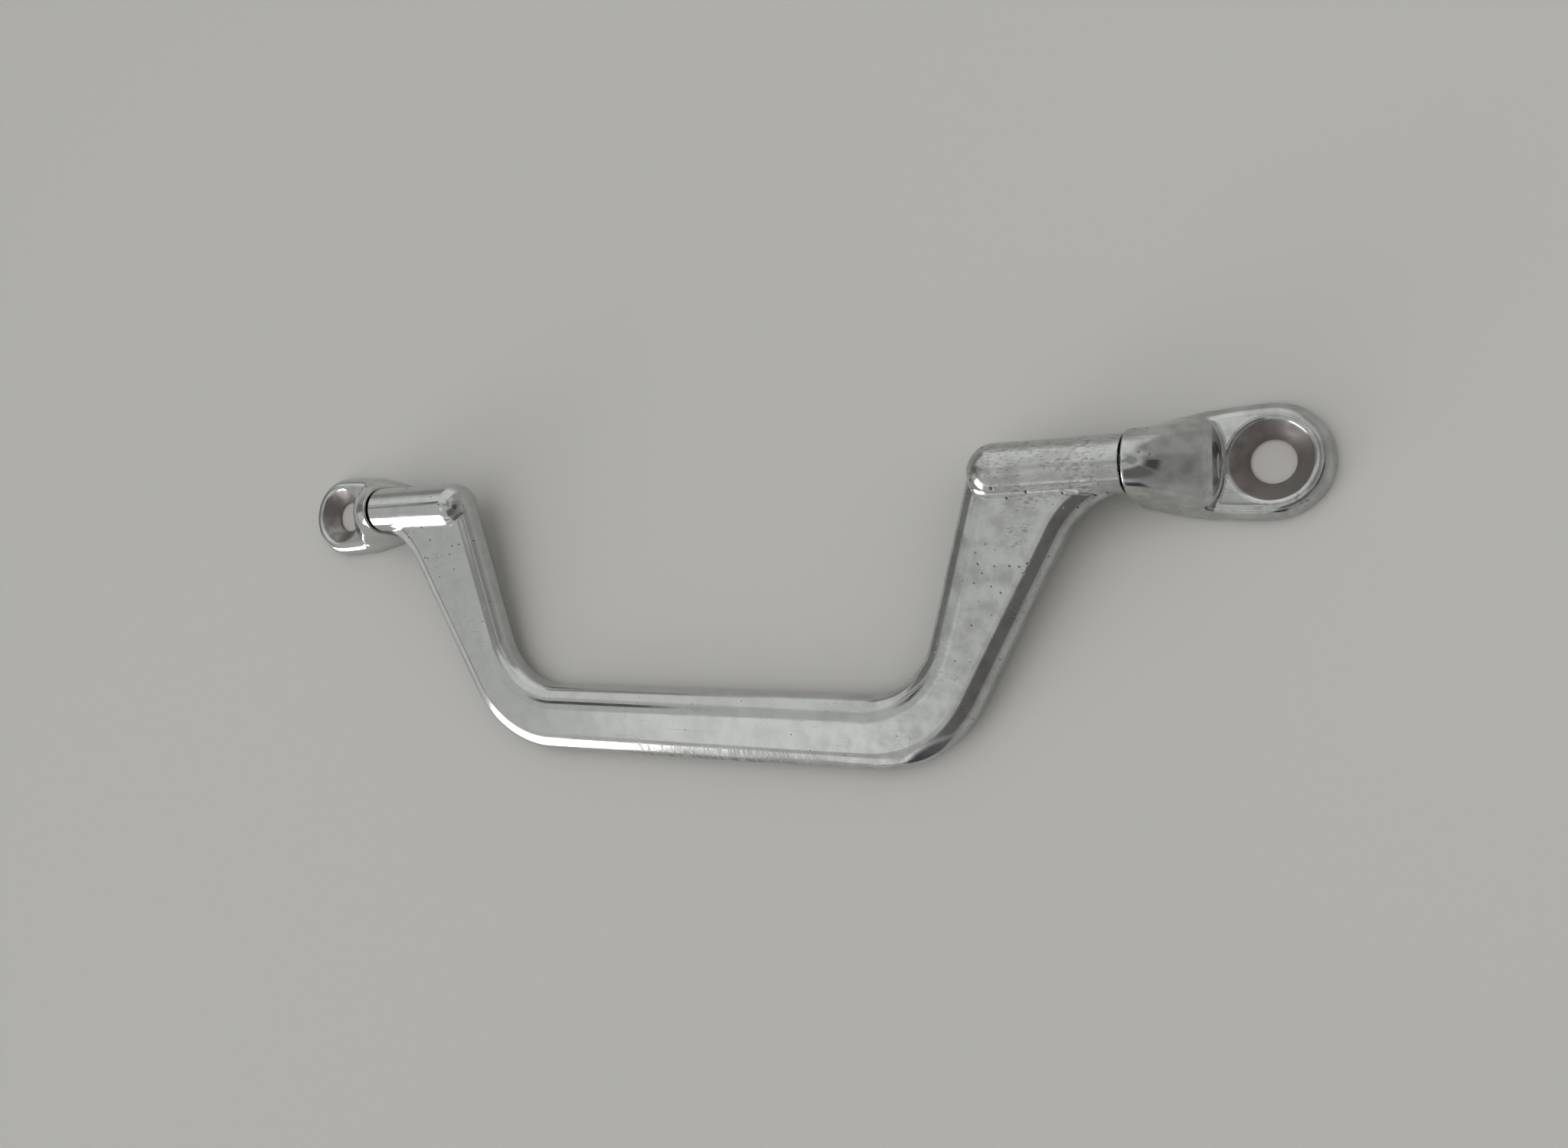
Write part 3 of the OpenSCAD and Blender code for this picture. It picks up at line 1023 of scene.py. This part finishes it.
@dataclass
class Studio:
    """The plain pale floor, the soft lamps, the room that the chrome mirrors, and the camera."""

    camera_place: Triple = (0.10520, -0.02104, 0.15746)
    camera_turn: Triple = (0.0531, 0.5327, 0.0087)
    lens: float = 28.77
    clip_start: float = 0.01
    floor_size: float = 4.0
    floor_paint: Triple = (0.464, 0.456, 0.437)
    floor_rough: float = 0.8
    floor_shine: float = 0.1
    softboxes: tuple[Softbox, ...] = (
        Softbox((-0.20, -0.05, 0.50), 0.9, 1.5),
        Softbox((0.60, 0.16, 0.45), 0.6, 1.5),
    )
    wall: Triple = (0.57, 0.58, 0.57)
    patches: tuple[Patch, ...] = (
        # The ceiling, which the right pad and dome and the left arm's inner bevel mirror.
        Patch(0.0, 400.0, 72.0, 100.0, 8.0, (0.56, 0.57, 0.56)),
        Patch(98.0, 56.0, 14.0, 62.0, 12.0, (0.84, 0.85, 0.84)),
        Patch(118.0, 56.0, 66.0, 83.0, 8.0, (0.75, 0.76, 0.75)),
        Patch(0.0, 400.0, 86.0, 100.0, 4.0, (0.33, 0.335, 0.325)),
        Patch(180.0, 56.0, 75.0, 100.0, 5.0, (0.33, 0.335, 0.325)),
        Patch(10.0, 120.0, 68.0, 100.0, 8.0, (0.33, 0.335, 0.325)),
        # The pale side, which the bar, the right arm's flat and the right barrel mirror.
        Patch(140.0, 40.0, 26.0, 68.0, 8.0, (0.77, 0.78, 0.765)),
        Patch(-149.0, 26.0, 47.0, 61.0, 8.0, (0.90, 0.915, 0.91)),
        Patch(-152.0, 30.0, 62.0, 74.0, 6.0, (0.64, 0.65, 0.64)),
        Patch(-110.0, 44.0, -20.0, 52.0, 8.0, (0.55, 0.55, 0.545)),
        Patch(-112.0, 38.0, 20.0, 28.0, 4.0, (0.92, 0.93, 0.92)),
        # The dim side, which the outer bevel of the right arm mirrors.
        Patch(48.0, 40.0, -20.0, 44.0, 12.0, (0.38, 0.38, 0.375)),
        Patch(-30.0, 120.0, -20.0, 60.0, 20.0, (0.38, 0.38, 0.375)),
        Patch(-27.0, 108.0, 18.0, 56.0, 20.0, (0.28, 0.278, 0.27)),
        Patch(-66.0, 56.0, 31.0, 62.0, 12.0, (0.16, 0.154, 0.152)),
        # The far side, which the left barrel, the left arm's edge and the inner bevels mirror.
        Patch(142.0, 36.0, -20.0, 18.0, 6.0, (0.30, 0.305, 0.295)),
        Patch(173.0, 24.0, -20.0, 36.0, 8.0, (0.22, 0.225, 0.215)),
        Patch(-168.0, 14.0, -20.0, 20.0, 6.0, (0.66, 0.67, 0.655)),
        Patch(176.0, 8.0, 45.5, 54.0, 2.0, (0.10, 0.10, 0.096)),
        Patch(168.0, 16.0, 40.8, 43.2, 1.2, (0.15, 0.15, 0.145)),
        Patch(-169.0, 18.0, 24.0, 36.0, 6.0, (0.36, 0.365, 0.355)),
        # Dark things: in the rubbed bend, in the right barrel's line and in the right dome.
        Patch(-88.0, 18.0, 3.0, 18.0, 9.0, (0.06, 0.063, 0.078)),
        Patch(-112.0, 26.0, 16.5, 19.5, 1.5, (0.17, 0.17, 0.17)),
        Patch(-16.0, 36.0, 32.0, 55.0, 12.0, (0.09, 0.09, 0.092)),
        # The window.
        Patch(-143.0, 27.0, -2.0, 24.0, 4.0, (5.0, 5.0, 5.0)),
    )

    def add_floor(self) -> None:
        """Lay the plane that the handle rests on."""
        half = self.floor_size / 2
        mesh = bpy.data.meshes.new("floor")
        corners = [(-half, -half, 0), (half, -half, 0), (half, half, 0), (-half, half, 0)]
        mesh.from_pydata(corners, [], [(0, 1, 2, 3)])
        floor = bpy.data.objects.new("floor", mesh)
        material = bpy.data.materials.new("floor_paint")
        material.use_nodes = True
        shader = material.node_tree.nodes["Principled BSDF"]
        shader.inputs["Base Color"].default_value = (*self.floor_paint, 1.0)
        shader.inputs["Roughness"].default_value = self.floor_rough
        shader.inputs["Specular IOR Level"].default_value = self.floor_shine
        mesh.materials.append(material)
        bpy.context.scene.collection.objects.link(floor)

    def add_softbox(self, softbox: Softbox) -> None:
        """Hang a softbox that faces the handle and isn't mirrored in it."""
        data = bpy.data.lights.new("softbox", "AREA")
        data.size = softbox.size
        data.energy = softbox.power
        lamp = bpy.data.objects.new("softbox", data)
        lamp.location = softbox.place
        lamp.rotation_euler = (-Vector(softbox.place)).to_track_quat("-Z", "Y").to_euler()
        lamp.visible_glossy = False
        bpy.context.scene.collection.objects.link(lamp)

    def add_room(self) -> None:
        """Make the room's light: dim on one side, pale on the other, with a window."""
        world = bpy.data.worlds.new("room")
        bpy.context.scene.world = world
        world.use_nodes = True
        graph = Graph(world.node_tree)
        x, y, z = graph.separate(graph.wire(graph.node("ShaderNodeTexCoord"), "Generated"))
        azimuth = graph.math("DEGREES", graph.math("ARCTAN2", y, x))
        elevation = graph.math("DEGREES", graph.math("ARCSINE", z))
        light: Wire | Triple = self.wall
        for patch in self.patches:
            away = graph.math("WRAP", azimuth - patch.azimuth, 180.0, -180.0)
            half, soft = patch.width / 2, patch.soft / 2
            inside = 1.0 - graph.ramp(abs(away), half - soft, half + soft)
            above_low = graph.ramp(elevation, patch.low - soft, patch.low + soft)
            above_high = graph.ramp(elevation, patch.high - soft, patch.high + soft)
            inside = inside * above_low * (1.0 - above_high)
            light = graph.paint(inside, patch.radiance, light)
        graph.feed(world.node_tree.nodes["Background"].inputs["Color"], light)

    def add_camera(self) -> None:
        """Set the camera at the photograph's viewing angle."""
        data = bpy.data.cameras.new("camera")
        data.lens = self.lens
        data.clip_start = self.clip_start
        camera = bpy.data.objects.new("camera", data)
        camera.location = self.camera_place
        camera.rotation_euler = self.camera_turn
        bpy.context.scene.collection.objects.link(camera)
        bpy.context.scene.camera = camera

    def build(self) -> None:
        """Put up the floor, the softboxes, the room and the camera."""
        self.add_floor()
        for softbox in self.softboxes:
            self.add_softbox(softbox)
        self.add_room()
        self.add_camera()
        bpy.context.scene.view_settings.view_transform = "Standard"


def main() -> None:
    """Build the studio and the three castings."""
    logging.basicConfig(level=logging.INFO, format="%(name)s: %(message)s")
    Studio().build()
    bail_plate = Chrome("bail_chrome", chatter=1.0).material()
    bracket_chrome = Chrome("bracket_chrome", pitted=0.6, hazy=0.06, worn=0.0, seed=11.0)
    bracket_plate = bracket_chrome.material()

    bail = Bail().build(bail_plate)
    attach(bail, "bail")
    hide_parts("bail")

    for side, node in ((Side.LEFT, "left_bracket"), (Side.RIGHT, "right_bracket")):
        bracket = Bracket(name=f"{node}_casting", side=side).build(bracket_plate)
        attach(bracket, "brackets")
        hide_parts(node)


if __name__ == "__main__":
    main()
